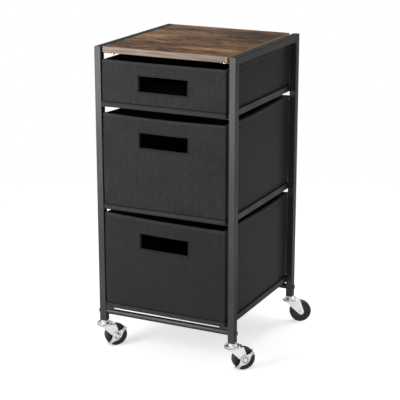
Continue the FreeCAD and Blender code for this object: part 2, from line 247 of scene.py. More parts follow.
# Layers of the grain, each with its lumps to the metre, detail, roughness and strength in the print.
grain_layers = {
    "broad": ((4, 17, 1), 3, 0.6, 1.1),
    "streak": ((10, 190, 1), 6, 0.68, 1.2),
    "blotch": ((24, 62, 1), 5, 0.72, 1.2),
    "pore": ((70, 1300, 1), 3, 0.5, 0.45),
    "saw": ((210, 26, 1), 2, 0.5, 0.2),
    "fleck": ((85, 60, 1), 4, 0.65, 0.75),
}
wood_inks = (
    (0.0, (42, 31, 26)), (0.28, (76, 57, 46)), (0.5, (110, 84, 66)),
    (0.72, (146, 111, 80)), (1.0, (178, 138, 97)),
)
grey_ink = (112, 97, 86)
stain_ink = (52, 40, 33)
knot_ink = (52, 37, 29)
joint_ink = (46, 34, 28)
band_inks = ((118, 102, 91), (166, 149, 136))
chip_tones = ((228, 202, 160), (200, 168, 128))
crease = math.radians(35)


def mesh_of(name, *grids):
    """Mesh of grids of points: copies x rows x columns x 3, or x 5 with the place on the flat sheet.

    Each square of neighbours is a face. Points that are not numbers leave a hole, and points of the
    grids that meet become one.
    """
    points, faces, flat = [], [], []
    count = 0
    for grid in grids:
        rows, columns, size = grid.shape[-3:]
        number = count + np.arange(grid.size // size).reshape(-1, rows, columns)
        square = (number[:, :-1, :-1], number[:, :-1, 1:], number[:, 1:, 1:], number[:, 1:, :-1])
        faces.append(np.stack(square, -1).reshape(-1, 4))
        points.append(grid[..., :3].reshape(-1, 3))
        flat.append(grid[..., 3:].reshape(len(points[-1]), -1))
        count += len(points[-1])
    points = np.concatenate(points)
    faces = np.concatenate(faces)
    faces = faces[~np.isnan(points[faces]).any(axis=(1, 2))]
    used, faces = np.unique(faces, return_inverse=True)
    faces = faces.reshape(-1, 4)
    mesh = bpy.data.meshes.new(name)
    mesh.from_pydata(points[used], [], faces.tolist())
    if flat[0].shape[1]:
        layer = mesh.uv_layers.new(name="flat_sheet")
        layer.data.foreach_set("uv", np.concatenate(flat)[used][faces.ravel()].ravel())
    whole = bmesh.new()
    whole.from_mesh(mesh)
    bmesh.ops.remove_doubles(whole, verts=whole.verts, dist=1e-6)
    bmesh.ops.dissolve_degenerate(whole, edges=whole.edges, dist=1e-7)
    bmesh.ops.recalc_face_normals(whole, faces=whole.faces)
    whole.to_mesh(mesh)
    whole.free()
    return mesh


def piece(name, body, slot, materials, *grids, stands_for=()):
    """Piece of the cart made of grids of points: it rides on a body and stands for CAD nodes."""
    mesh = mesh_of(name, *grids)
    for material in np.atleast_1d(materials):
        mesh.materials.append(material)
    mesh.shade_smooth()
    mesh.set_sharp_from_angle(angle=crease)
    made = bpy.data.objects.new(name, mesh)
    bpy.context.scene.collection.objects.link(made)
    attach(made, body)
    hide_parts(*stands_for)
    return made


def stacked(*columns):
    """Points given by their numbers one by one, each spread over the same grid."""
    return np.stack(np.broadcast_arrays(*columns), -1)


def eased_block(low, high, ease):
    """Block with round edges: a corner of the block inside it, plus the ease times a ball's normal."""
    steps = 3
    low = np.array(low)
    high = np.array(high)
    quarter = np.linspace(0, np.pi / 2, steps + 1)
    turn = np.append(np.concatenate([quarter + k * np.pi / 2 for k in range(4)]), 2 * np.pi)
    side = np.append(np.repeat([1, -1, -1, 1], steps + 1), 1)
    end = np.append(np.repeat([1, 1, -1, -1], steps + 1), 1)
    rise = np.concatenate([quarter - np.pi / 2, quarter])[:, None]
    level = np.repeat([-1, 1], steps + 1)[:, None]
    normal = stacked(np.cos(rise) * np.cos(turn), np.cos(rise) * np.sin(turn), np.sin(rise))
    skin = (low + high) / 2 + stacked(side, end, level) * ((high - low) / 2 - ease) + ease * normal
    poles = np.array([[0, 0, -1], [0, 0, 1]])[:, None] * (high - low) / 2 + (low + high) / 2
    poles = np.repeat(poles, len(turn), 1)
    return np.concatenate([poles[:1], skin, poles[1:]])


def eased_outline(rows):
    """Closed outline of (x, y, ease) corners, each an arc about a centre on the corner's bisector.

    One that starts and ends on the axis of a turned piece is used without its closing point.
    """
    steps = 4
    rows = np.array(rows, float)
    corner = rows[:, :2]
    radius = rows[:, 2:]
    back = np.roll(corner, 1, 0) - corner
    ahead = np.roll(corner, -1, 0) - corner
    back /= np.linalg.norm(back, axis=1, keepdims=True)
    ahead /= np.linalg.norm(ahead, axis=1, keepdims=True)
    half = np.arccos((back * ahead).sum(1, keepdims=True)) / 2
    bisector = (back + ahead) / np.linalg.norm(back + ahead, axis=1, keepdims=True)
    middle = corner + bisector * radius / np.sin(half)
    first = corner + back * radius / np.tan(half) - middle
    last = corner + ahead * radius / np.tan(half) - middle
    turn = (np.pi - 2 * half)[:, :, None]
    share = np.linspace(0, 1, steps + 1)[None, :, None]
    arc = np.sin((1 - share) * turn) * first[:, None] + np.sin(share * turn) * last[:, None]
    outline = (middle[:, None] + arc / np.sin(turn)).reshape(-1, 2)
    return np.concatenate([outline, outline[:1]])


def turned(outline, centre, axis):
    """Surface of revolution: each (radius, distance along) of an outline goes round the axis."""
    axis = np.array(axis, float)
    side = np.cross(axis, (0.0, 0.0, 1.0)) if abs(axis[2]) < 0.5 else np.array((1.0, 0.0, 0.0))
    other = np.cross(axis, side)
    radius, reach = np.array(outline, float).T[:, :, None, None]
    turn = np.linspace(0, 2 * np.pi, 73)[None, :, None]
    return np.array(centre) + reach * axis + radius * (np.cos(turn) * side + np.sin(turn) * other)


def screw_outline(under, tip):
    """Pan-head screw from the bottom up: a domed head below the tab, and the shank in the board."""
    return eased_outline([
        (0.0, under - screw_head_height, 0),
        (screw_shank, under - screw_head_dome, 0.002),
        (screw_head, under - screw_head_edge, 0.001),
        (screw_head, under, 0.0003),
        (screw_shank, under, 0),
        (screw_shank, tip - screw_point, 0.0005),
        (0.0, tip, 0),
    ])[:-1]


def swayed(place, lumps, size):
    """Coordinates pushed about by three soft noises, each about zero, up to half a size."""
    push = place.vector("SUBTRACT", place.noise(lumps, output="Color"), (0.5, 0.5, 0.5))
    push = place.node("VectorMath", {"operation": "SCALE"}, {0: push, "Scale": size})
    return place.vector("ADD", place, push)


def spot(place, x, y, long, wide):
    """Distance from the middle of an oval on the board: 0 there, and 1 on the oval itself."""
    inputs = {"Vector": place, "Location": (x, y, 0), "Scale": (long, wide, 1)}
    oval = place.node("Mapping", {"vector_type": "TEXTURE"}, inputs)
    return place.vector("MULTIPLY", oval, (1, 1, 0)).length()


def knot(place, *oval):
    """Rings of a knot: waves of the stretched distance from its middle, dark there and gone outside."""
    reach = spot(place, *oval)
    return (1 - reach.ease(0.15, 1.0)) * (0.72 + 0.28 * (reach * knot_waves).sine())


def wood_paper():
    """Printed rustic planks along X: waved streaks, tan and grey patches, dark stains and knots.

    Each plank has its own tone, and reads its grain from another place.
    """
    material, place = new_finish("wood_paper", Specular_IOR_Level=0.015)
    warped = swayed(place, (7, 9, 1), sway_size)
    row = warped.part(1)
    seams = [row.ease(seam, seam + seam_step) for seam in plank_seams]
    plank = sum(seams)
    shift = place.node("CombineXYZ", {}, {0: plank * 3.7, 1: plank * 1.9, 2: plank * 5.3})
    grain = place.vector("ADD", warped, shift)
    changes = zip(seams, plank_tones, plank_tones[1:])
    shade = plank_tones[0] + sum((after - before) * seam for seam, before, after in changes)
    shade = shade + 0.3 * sum(spot(warped, *oval).ease(1.0, 0.1) for oval in pale_wood)
    shade = shade - 0.28 * sum(spot(warped, *oval).ease(1.0, 0.1) for oval in dull_wood)
    layers = {}
    for name, (lumps, detail, roughness, strength) in grain_layers.items():
        layers[name] = grain.noise(lumps, detail, roughness)
        shade = shade + strength * (layers[name] - 0.5)
    stops = [(position, linear(*ink)) for position, ink in wood_inks]
    printed = shade.node("ValToRGB", {"stops": stops}, {0: shade})
    grey = grain.noise((15, 40, 1), 5, 0.66).ease(0.5, 0.66) * 0.55
    stain = (1 - grain.noise((9, 30, 1), 4, 0.7)).ease(0.52, 0.7) * 0.72
    aged = stain.blend(grey.blend(printed, grey_ink), stain_ink)
    dark = sum(knot(warped, *oval) for oval in knots)
    marked = dark.at_most(0.85).blend(aged, knot_ink)
    joint = sum(abs(row - (seam + seam_step / 2)).ease(0.0016, 0.0004) for seam in plank_seams)
    (joint * 0.6).blend(marked, joint_ink).feed("Base Color")
    (0.5 + 0.2 * layers["streak"]).feed("Roughness")
    (layers["streak"] + 0.5 * layers["pore"] - 0.8 * joint).bump(0.00018).feed("Normal")
    return material


def edge_paper():
    """Band of pale grey-brown oak paper, with streaks along the edge."""
    material, place = new_finish("edge_paper", Specular_IOR_Level=0.15)
    streak = place.noise((14, 1, 420), 5, 0.65)
    streak.ease(0.3, 0.7).blend(*band_inks).feed("Base Color")
    (0.45 + 0.2 * streak).feed("Roughness")
    streak.bump(0.0001).feed("Normal")
    return material


def raw_board():
    """Cut edge of particle board: pale chips of wood, darker glue between them."""
    material, place = new_finish("raw_board", Specular_IOR_Level=0.1, Roughness=0.85)
    chip = place.node("TexVoronoi", {"feature": "F1"}, {"Vector": place, "Scale": 520})
    dust = place.noise(900, 3)
    (chip * 0.8 + dust * 0.6).ease(0.3, 1.0).blend(*chip_tones).feed("Base Color")
    (dust - chip).bump(0.0002).feed("Normal")
    return material


board_low, board_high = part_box("top_board")
band_low, band_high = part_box("top_board_edge_band")
board = piece(
    "top_board_laminate", "frame", "wood_laminate", [wood_paper(), raw_board()],
    eased_block(board_low, board_high, board_ease), stands_for=["top_board"],
)
facing = np.zeros(len(board.data.polygons) * 3)
board.data.polygons.foreach_get("normal", facing)
is_raw = np.abs(facing[2::3]) < paper_slope
board.data.polygons.foreach_set("material_index", is_raw.astype(np.int32))
band_high.x -= band_short
piece(
    "top_board_front_band", "frame", "edge_band", edge_paper(),
    eased_block(band_low, band_high, board_ease / 2), stands_for=["top_board_edge_band"],
)
dress(black_coat, "board_tabs")
screw_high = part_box("board_screws")[1]
screw = screw_outline(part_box("board_tabs")[0].z, screw_high.z)
screw_places = [
    (side * (screw_high.x - screw_inset), end * (screw_high.y - screw_inset), 0)
    for side in (-1, 1) for end in (-1, 1)
]
piece(
    "board_pan_screws", "frame", "zinc_plate", plain_metal("bright_zinc", (222, 222, 224), 0.16, 0.3),
    *[turned(screw, place, (0, 0, 1)) for place in screw_places], stands_for=["board_screws"],
)

# Fabric bins: a cloth cover with a stiff board in each wall and one in the base. Tape is folded over
# the rim and another is sewn round the bottom, each with a row of stitches. The hand slot is hemmed.
# The front panel shows the slubbed cloth, and the other three show it in darker tones, as painted shade.

bin_corner = 0.0015
wall_thickness = 0.0046
base_cloth = 0.0012
wall_bow = 0.0015
front_sag = {"upper": 0.0006, "middle": 0.0036, "lower": 0.0025}
side_sag = {"upper": 0.0006, "middle": 0.0045, "lower": 0.0055}
sag_to_rear = {"upper": 0.0, "middle": -0.9, "lower": 0.9}
front_lift = {"upper": 0.0, "middle": 0.0, "lower": 0.006}
rear_lift = {"upper": 0.0045, "middle": 0.0, "lower": 0.0}
wall_steps = (6, 44, 6, 38, 6, 44, 6)
slot_half = 0.0575
slot_height = 0.034
slot_drop = {"upper": 0.028, "middle": 0.033, "lower": 0.033}
slot_hem = 0.0035
slot_fold = 0.0006
board_skin = 0.0023
board_thickness = 0.0020
slot_room = 0.0012
board_room = 0.0006
board_rows = (12, 4, 4)
board_columns = (12, 12, 12)
base_ease = 0.0009
tape = 0.0004
tape_ease = 0.00018
hem_height = 0.008
hem_fold = 0.0014
band_height = 0.0095
front_roll = 0.0021
roll_end = 0.006
roll_step = 0.0012
sewn_pull = 0.0014
hem_pull_drop = 0.001
hem_pull_width = 0.0012
band_pull_width = 0.0014
seam_off = 0.0012
seam_shade_width = 0.0024
stitch_line = 0.0016
stitch_pitch = 0.0046
stitch_length = 0.0033
stitch_groove = 0.0003
groove_half = 0.001
thread = 0.00045
twill_pitch = 0.0011
tape_pitch = 0.0016
thread_pitch = 0.0006
twill_slope = 0.6
slub_lumps = (400, 34, 1)
slub_lean = {"upper": 0.12, "middle": 0.5, "lower": 0.5}
slub_dark = {"upper": (42, 42, 43), "middle": (40, 40, 41), "lower": (41, 41, 42)}
slub_light = {"upper": (60, 60, 61), "middle": (58, 58, 59), "lower": (53, 53, 54)}
# Painted shade: the darker tones of the side and rear panels.
shaded_panel_dark = (27, 27, 28)
shaded_panel_light = (46, 46, 47)
# Painted shade in the crease along the seam.
seam_shade_tone = (22, 22, 23)
felt_tones = ((112, 92, 70), (140, 118, 92))


def spaced(stops, counts):
    """Values from the first stop to the last, with so many equal steps between neighbours."""
    runs = [np.linspace(a, b, n, endpoint=False) for a, b, n in zip(stops, stops[1:], counts)]
    return np.append(np.concatenate(runs), stops[-1])


class Bin:
    """Outside of one bin: a round-cornered plan, walls that bow a little and a rim that sags."""

    def __init__(self, level):
        low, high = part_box(level + "_bin_rim_binding")
        self.level = level
        self.middle = (low + high) / 2
        self.half = (high - low) / 2
        self.rim = high.z
        self.hem = self.rim - hem_height
        self.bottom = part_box(level + "_bin_bottom_band")[0].z
        self.band_top = self.bottom + band_height
        arc = bin_corner * np.pi / 2
        across = 2 * (self.half.x - bin_corner)
        along = 2 * (self.half.y - bin_corner)
        self.stops = np.cumsum([0, across, arc, along, arc, across, arc, along, arc])
        self.slot = across / 2 + np.array([-slot_half, slot_half])
        self.slot_top = self.rim - slot_drop[level]
        self.slot_low = self.slot_top - slot_height

    def wall(self, way, inset, height):
        """Point of a wall: way metres round the plan from the front left, moved in by inset."""
        side = np.interp(way, self.stops, (-1, 1, 1, 1, 1, -1, -1, -1, -1))
        end = np.interp(way, self.stops, (-1, -1, -1, 1, 1, 1, 1, -1, -1))
        turn = np.radians(np.interp(way, self.stops, (-90, -90, 0, 0, 90, 90, 180, 180, 270)))
        corner = np.maximum(bin_corner - inset, 0)
        x = self.middle.x + side * (self.half.x - inset - corner) + corner * np.cos(turn)
        y = self.middle.y + end * (self.half.y - inset - corner) + corner * np.sin(turn)
        return self.slack(stacked(x, y, height))

    def slack(self, point):
        """Move points as the cloth hangs: walls bow out by the root of half a sine over their height.

        The rim dips as a parabola between corners, and is lifted at the front left and rear right ones.
        Dips and lifts grow with the square of the height.
        """
        level = self.level
        across = (point[..., 0] - self.middle.x) / self.half.x
        along = (point[..., 1] - self.middle.y) / self.half.y
        up = np.clip((point[..., 2] - self.bottom) / (self.rim - self.bottom), 0, 1)
        belly = wall_bow * np.sqrt(np.clip(np.sin(np.pi * up), 0, 1))
        front_dip = front_sag[level] * (1 - across**2) * along**8
        side_dip = side_sag[level] * (1 - along**2) * across**8 * (1 + sag_to_rear[level] * along)
        rear_right = np.clip(1 + across, 0, 2) * np.clip(1 + along, 0, 2) / 4
        lift = front_lift[level] * (1 - across) * (1 - along) / 4 + rear_lift[level] * rear_right**4
        x = point[..., 0] + belly * (1 - 0.15 * along**2) * across**7
        y = point[..., 1] + belly * (1 - 0.15 * across**2) * along**7
        z = point[..., 2] + up**2 * (lift - front_dip - side_dip)
        return np.stack([x, y, z], -1)

    def roll(self, way, up):
        """How far the bottom band rolls out on the front wall: half a sine over its height."""
        from_end = np.minimum(way, self.stops[1] - way)
        return front_roll * np.sqrt(np.clip(from_end / roll_end, 0, 1)) * np.sin(np.pi * up)

    def cloth(self, way, inset, height):
        """Grid of wall points with their place on the flat cloth: the way round, and the height."""
        return np.concatenate([self.wall(way, inset, height), stacked(way, height - inset)], -1)


def between(first, last, steps):
    """Grid that goes from one line of points to another in equal steps."""
    share = np.linspace(0, 1, steps + 1)[:, None, None]
    return (1 - share) * first + share * last


def slot_ring(grid, rows, columns):
    """Closed loop of a grid's points round the hand slot."""
    (low, high), (left, right) = rows, columns
    runs = [grid[low, left:right], grid[low:high, right]]
    runs += [grid[high, right:left:-1], grid[high:low:-1, left]]
    ring = np.concatenate(runs)
    return np.concatenate([ring, ring[:1]])


def cut_slot(grid, rows, columns):
    """Take the points inside the hand slot out of a grid."""
    grid[rows[0] + 1:rows[1], columns[0] + 1:columns[1]] = np.nan


def cover_grids(box):
    """Outer and inner skins, rim, bottoms and slot edge of a bin's cloth cover.

    Under the hem and over the band, the sewing pulls the outer skin in by a bell curve of the height.
    Round the hand slot the folded hem stands out by the root of the share of its width.
    """
    front = [0, box.slot[0] - slot_hem, *box.slot, box.slot[1] + slot_hem, *box.stops[1:]]
    way = spaced(front, [12, 4, 26, 4, 12, *wall_steps])[None]
    stops = [box.bottom, box.band_top, box.slot_low - slot_hem, box.slot_low]
    stops += [box.slot_top, box.slot_top + slot_hem, box.hem, box.rim - tape]
    height = spaced(stops, [4, 20, 4, 10, 4, 6, 4])[:, None]
    rows = np.searchsorted(height[:, 0], np.array([box.slot_low, box.slot_top]) - 1e-7)
    columns = np.searchsorted(way[0], box.slot - 1e-7)
    beside = np.maximum(box.slot[0] - way, way - box.slot[1])
    above = np.maximum(box.slot_low - height, height - box.slot_top)
    fold = slot_fold * np.sqrt(np.clip(1 - np.maximum(beside, above) / slot_hem, 0, 1))
    at_hem = np.exp(-((height - box.hem + hem_pull_drop) / hem_pull_width) ** 2)
    at_band = np.exp(-((height - box.band_top - seam_off) / band_pull_width) ** 2)
    outer = box.cloth(way, tape - fold + sewn_pull * (0.5 * at_hem + at_band), height)
    reach = tape + wall_thickness
    floor = box.bottom + base_cloth
    inner = box.cloth(way, reach, height)
    inner[0] = box.cloth(way, reach, floor)[0]
    edge = between(slot_ring(outer, rows, columns), slot_ring(inner, rows, columns), 4)
    rim = between(outer[-1], inner[-1], 4)
    spread = np.linspace(0, 1, 9)[:, None]
    under = box.cloth(way, tape + spread * (box.half.x - tape), box.bottom)
    under[0] = outer[0]
    inside = box.cloth(way, reach + spread * (box.half.x - reach), floor)
    for skin in (outer, inner):
        cut_slot(skin, rows, columns)
    return [outer, inner, edge, rim, under, inside]


def hem_outline(box):
    """Section of the rim tape: folded over the wall's top, with a groove where it is stitched."""
    sewn = box.hem + stitch_line
    top = box.rim - tape
    inner = 2 * tape + wall_thickness
    return eased_outline([
        (0, box.hem, tape_ease),
        (0, sewn - groove_half, 0.0003),
        (stitch_groove, sewn, 0.0002),
        (0, sewn + groove_half, 0.0003),
        (0, box.rim, hem_fold),
        (inner, box.rim, hem_fold),
        (inner, box.hem, tape_ease),
        (inner - tape, box.hem, tape_ease),
        (inner - tape, top, tape_ease),
        (tape, top, tape_ease),
        (tape, box.hem, tape_ease),
    ])


def band_outline(box):
    """Section of the bottom band: a flat tape on the cloth."""
    section = [(0, box.bottom), (0, box.band_top), (tape, box.band_top), (tape, box.bottom)]
    return eased_outline([(*corner, tape_ease) for corner in section])


def tape_grid(box, outline, rolls=False):
    """Tape sewn round a bin: its cross section, of (inset, height) points, carried round the plan."""
    way = spaced(box.stops, [52, *wall_steps])[None]
    length = np.append(0, np.cumsum(np.hypot(*np.diff(outline, axis=0).T)))
    fine = np.union1d(length, np.arange(0, length[-1], roll_step)) if rolls else length
    inset, height = (np.interp(fine, length, column)[:, None] for column in outline.T)
    up = (height - height.min()) / (height.max() - height.min())
    outside = np.clip(1 - inset / tape, 0, 1)
    return box.cloth(way, inset - rolls * outside * box.roll(way, up), height)


def stitch_grid(box, way, height, upright, inset):
    """Stitches: capsules of thread lying along the cloth, half sunk into it."""
    along = np.array([-1, -0.8, 0, 0.8, 1])[:, None] * stitch_length / 2
    girth = thread * np.array([0, 0.75, 1, 0.75, 0])[:, None]
    turn = np.linspace(0, 2 * np.pi, 7)
    aside = girth * np.sin(turn)
    run, rise = (aside, along) if upright else (along, aside)
    way = np.reshape(way, (-1, 1, 1)) + run
    height = np.reshape(height, (-1, 1, 1)) + rise
    return box.wall(way, inset - girth * np.cos(turn), height)


def all_stitches(box):
    """Stitch rows of one bin: under the rim tape, over the bottom band and round the hand slot."""
    around = np.arange(stitch_pitch / 2, box.stops[-1] - stitch_pitch / 2, stitch_pitch)
    rolled = box.roll(around, 1 - stitch_line / band_height)[:, None, None]
    grids = [
        stitch_grid(box, around, box.hem + stitch_line, False, stitch_groove * 0.6),
        stitch_grid(box, around, box.band_top - stitch_line, False, stitch_groove * 0.2 - rolled),
    ]
    off = slot_hem * 0.55
    sunk = tape - slot_fold * 0.7
    line = np.arange(box.slot[0] - off + stitch_pitch / 2, box.slot[1] + off, stitch_pitch)
    post = np.arange(box.slot_low - off + stitch_pitch / 2, box.slot_top + off, stitch_pitch)
    for height in (box.slot_low - off, box.slot_top + off):
        grids.append(stitch_grid(box, line, height, False, sunk))
    for way in (box.slot[0] - off, box.slot[1] + off):
        grids.append(stitch_grid(box, way, post, True, sunk))
    return grids


def stiffener_grids(box):
    """Boards inside the walls: two faces, the edge round them and, in the front one, round the slot."""
    low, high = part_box(box.level + "_bin_wall_boards")
    window = (box.slot_low - slot_room, box.slot_top + slot_room)
    height = spaced([low.z, *window, high.z], board_rows)[:, None]
    outline = ((0, sum(board_rows)), (0, sum(board_columns)))
    hole = (np.cumsum(board_rows)[:2], np.cumsum(board_columns)[:2])
    grids = []
    for first, last in zip(box.stops[0:8:2], box.stops[1:8:2]):
        front = first == 0
        ends = (first + board_room, last - board_room)
        slot = (box.slot[0] - slot_room, box.slot[1] + slot_room)
        stops = [ends[0], *slot, ends[1]] if front else ends
        way = spaced(stops, board_columns if front else [sum(board_columns)])[None]
        faces = [box.wall(way, inset, height) for inset in (board_skin, board_skin + board_thickness)]
        for ring in [outline, hole] if front else [outline]:
            grids.append(between(*[slot_ring(face, *ring) for face in faces], 2))
        if front:
            for face in faces:
                cut_slot(face, *hole)
        grids += faces
    return grids


def woven(name, dark, light, pitch, lean=0.0, seam=0.0, front=None):
    """Charcoal polyester cloth: a fine twill, with slubs that streak down the wall a little aslant.

    A band of painted shade darkens it at the seam's height, and past the front panel's end it takes
    darker tones as painted shade.
    """
    gloss = {"Specular_IOR_Level": 0.1, "Sheen_Weight": 0.03, "Sheen_Roughness": 0.4}
    material, place = new_finish(name, "UV", **gloss)
    across = place.part(0)
    up = place.part(1)
    waves = 2 * math.pi / pitch
    aslant = place.node("CombineXYZ", {}, {0: across - up * lean, 1: up})
    slub = aslant.noise(slub_lumps, 4, 0.62)
    cloud = place.noise((12, 12, 1), 2)
    ridge = ((across + up * twill_slope) * waves).sine()
    weave = 0.5 + 0.3 * ridge + 0.2 * (up * waves).sine()
    shade = (0.68 * slub + 0.17 * cloud + 0.15 * weave).ease(0.32, 0.7)
    colour = shade.blend(dark, light)
    if front:
        # Painted shade: past the front panel's end, the side and rear panels take the darker tones.
        shaded_panels = shade.blend(shaded_panel_dark, shaded_panel_light)
        colour = across.ease(front, front + bin_corner).blend(colour, shaded_panels)
    # Painted shade: a dark band in the crease along the seam's height.
    sewn = abs(up - seam).ease(seam_shade_width, 0.0004)
    (0.85 * sewn).blend(colour, seam_shade_tone).feed("Base Color")
    (0.72 + 0.16 * slub).feed("Roughness")
    (weave + 1.5 * slub).bump(0.00016).feed("Normal")
    return material


def fibreboard():
    """Grey-brown pressed board: felted fibres."""
    material, place = new_finish("fibreboard", Roughness=0.85)
    felt = place.noise(380, 4, 0.6)
    felt.ease(0.3, 0.7).blend(*felt_tones).feed("Base Color")
    felt.bump(0.00015).feed("Normal")
    return material


tape_cloth = woven("tape_cloth", (45, 45, 46), (66, 66, 67), tape_pitch)
band_cloth = woven("band_cloth", (52, 52, 53), (70, 70, 71), tape_pitch)
thread_finish = woven("thread_finish", (20, 20, 21), (30, 30, 31), thread_pitch)
board_finish = fibreboard()
for level in levels:
    box = Bin(level)
    body = level + "_bin"
    tones = (slub_dark[level], slub_light[level])
    seam = box.band_top + seam_off - tape
    cloth = woven(level + "_cloth", *tones, twill_pitch, slub_lean[level], seam, box.stops[1])
    rim_tape = tape_grid(box, hem_outline(box))
    base_tape = tape_grid(box, band_outline(box), True)
    pad = eased_block(*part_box(body + "_base_board"), base_ease)
    pad = np.concatenate([pad, pad[..., :2]], -1)
    sewn_pieces = (
        ("_cover", "bin_fabric", cloth, cover_grids(box), ["_shell"]),
        ("_rim_tape", "bin_binding", tape_cloth, [rim_tape], ["_rim_binding"]),
        ("_base_tape", "bin_binding", band_cloth, [base_tape], ["_bottom_band"]),
        ("_stitching", "bin_binding", thread_finish, all_stitches(box), []),
        ("_base_pad", "base_board_wrap", cloth, [pad], ["_base_board"]),
        ("_stiffeners", "fibreboard", board_finish, stiffener_grids(box), ["_wall_boards"]),
    )
    for name, slot, finish, grids, nodes in sewn_pieces:
        piece(body + name, body, slot, finish, *grids, stands_for=[body + node for node in nodes])

# Casters: a turned stem with a race cup presses into a socket in the leg, and a pressed fork swivels
# under it on a ring of balls. Fork, cup and axle are bright zinc; the wheels are black. The front two
# have a brake lever pressed from strip, with a ring raised round the axle and ribs near its ends.

race_gap = 0.001
cup_radius = 0.017
cup_height = 0.0025
cup_rim = 0.0018
cup_rim_slope = 0.0008
dish_depth = 0.0013
cover_radius = 0.0115
cover_drop = 0.0011
cover_rise = 0.0008
collar_radius = 0.0085
collar_neck = 0.0006
collar_rise = 0.0024
stem_radius = 0.004
stem_length = 0.015
kingpin_radius = 0.0035
kingpin_head = 0.006
kingpin_head_height = 0.0016
kingpin_gap = 0.0001
fork_half = 0.0122
fork_bend = 0.0035
fork_sheet = 0.002
cheek_end = 0.0065
cheek_toe = math.radians(75)
crown_radius = 0.0175
crown_front = 0.014
crown_rear = 0.0226
sheet_edge = 0.0004
axle_radius = 0.003
rivet_radius = 0.005
rivet_height = 0.0018
dimple_radius = 0.0013
dimple_edge = 0.0024
hub_bore = 0.00305
hub_radius = 0.008
hub_half = 0.010
web_half = 0.0055
rim_depth = 0.0025
rim_inset = 0.001
tyre_half = 0.009
tyre_depth = 0.008
tyre_shoulder = 0.0035
tyre_ring = 0.0052
tyre_ring_half = 0.0006
tyre_ring_depth = 0.0005
lever_outer = 0.0145
lever_gap = 0.001
lever_thickness = 0.002
lever_pad = 0.0062
lever_bend = 0.0024
lever_tilt = math.radians(42)
lever_boss = 0.0092
lever_arm = 0.0034
eye_length = 0.0112
ring_radius = 0.0068
ring_width = 0.0008
ring_height = 0.0013
groove_radius = 0.0056
ring_foot = 0.0016
rib_start = 0.0172
rib_pitch = 0.0022
rib_count = 3
rib_height = 0.0005
lever_tone = (198, 198, 200)
# Painted shade in the lever's groove and between its ribs.
groove_shade_tone = (72, 72, 74)


class Caster:
    """Where one caster stands: its swivel axis, its wheel's centre, and the way that the fork trails."""

    def __init__(self, corner):
        low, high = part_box(corner + "_caster_stem")
        tyre_low, tyre_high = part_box(corner + "_tyre")
        self.swivel = np.array([(low.x + high.x) / 2, (low.y + high.y) / 2, 0.0])
        self.hub = np.array((tyre_low + tyre_high) / 2)
        trail = self.hub - self.swivel
        trail[2] = 0.0
        self.trail = np.linalg.norm(trail)
        self.ahead = trail / self.trail
        self.across = np.array([-self.ahead[1], self.ahead[0], 0.0])
        self.wheel_radius = self.hub[2]
        self.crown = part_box(corner + "_caster_fork")[1].z
        self.leg_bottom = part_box(corner + "_leg")[0].z

    def place(self, x, y, z):
        """Points given along the trail, across it and up, set where the caster stands."""
        x, y, z = (np.asarray(value)[..., None] for value in np.broadcast_arrays(x, y, z))
        return self.swivel + x * self.ahead + y * self.across + z * np.array([0.0, 0.0, 1.0])


def stem_outline(caster):
    """From the bottom up: kingpin head, race cup with a rolled rim, dust cover, collar and stem."""
    cup = caster.crown + race_gap
    top = cup + cup_height
    head = caster.crown - fork_sheet - kingpin_gap
    leg = caster.leg_bottom
    return eased_outline([
        (0.0, head - kingpin_head_height, 0),
        (kingpin_head, head - kingpin_head_height, 0.0007),
        (kingpin_head, head, 0.0003),
        (kingpin_radius, head, 0),
        (kingpin_radius, cup, 0),
        (cup_radius, cup, 0.0011),
        (cup_radius, top, 0.0008),
        (cup_radius - cup_rim, top, 0.0008),
        (cup_radius - cup_rim - cup_rim_slope, top - dish_depth, 0.0005),
        (cover_radius, top - cover_drop, 0.001),
        (collar_radius + collar_neck, top + cover_rise, 0.0006),
        (collar_radius, top + collar_rise, 0.0008),
        (collar_radius, leg, 0.0008),
        (stem_radius, leg, 0),
        (stem_radius, leg + stem_length, 0.0008),
        (0.0, leg + stem_length, 0),
    ])[:-1]


def touch(start_point, centre, radius, side):
    """Point where a line from a start point touches a circle, on one side of the line to its centre."""
    gap = np.subtract(start_point, centre)
    turn = np.arctan2(gap[1], gap[0]) + side * np.arccos(radius / np.hypot(*gap))
    return np.add(centre, radius * np.array([np.cos(turn), np.sin(turn)]))


def doubled(line, sign=1):
    """Values of one half of a strip, then those of the other half, which mirrors it."""
    return np.append(line, sign * line[-2::-1])[:, None]


def fork_grid(caster):
    """Fork pressed from one strip: up one cheek, over the crown and down the other.

    The strip runs along an upturned U, and its front and rear edges are lines from the crown to the
    circle round the axle on the cheeks, and the crown's circle on top.
    """
    crown = caster.crown
    axle = (caster.trail, caster.wheel_radius)
    toe = axle[1] - cheek_end * np.cos(np.linspace(0, cheek_toe, 12))
    rise = np.append(toe, np.linspace(toe[-1], crown - fork_bend, 14)[1:])
    arch = np.linspace(0, np.pi / 2, 9)[1:]
    roof_half = fork_half - fork_bend
    roof = np.linspace(-roof_half, 0, 8)[1:]
    cheek = np.full(len(rise), -fork_half)
    y = np.concatenate([cheek, -fork_half + fork_bend * (1 - np.cos(arch)), roof])
    z = np.concatenate([rise, crown - fork_bend * (1 - np.sin(arch)), np.full(len(roof), crown)])
    bulge = np.sqrt(np.clip(cheek_end**2 - (z - axle[1]) ** 2, 0, None))
    edges = []
    for top, side in ((-crown_front, 1), (crown_rear, -1)):
        foot = touch((top, crown), axle, cheek_end, side)
        line = foot[0] + (z - foot[1]) / (crown - foot[1]) * (top - foot[0])
        edges.append(np.where(z < foot[1], axle[0] - side * bulge, line))
    low, high = edges
    disc =-np.sqrt(crown_radius**2 - np.minimum(np.abs(y), roof_half) ** 2)
    over = np.clip((z - crown + fork_bend) / fork_bend, 0, 1) ** 2
    low = doubled(low + over * (disc - low))
    across = np.linspace(0, 1, 13)
    return caster.place(low + across * (doubled(high) - low), doubled(y, -1), doubled(z))


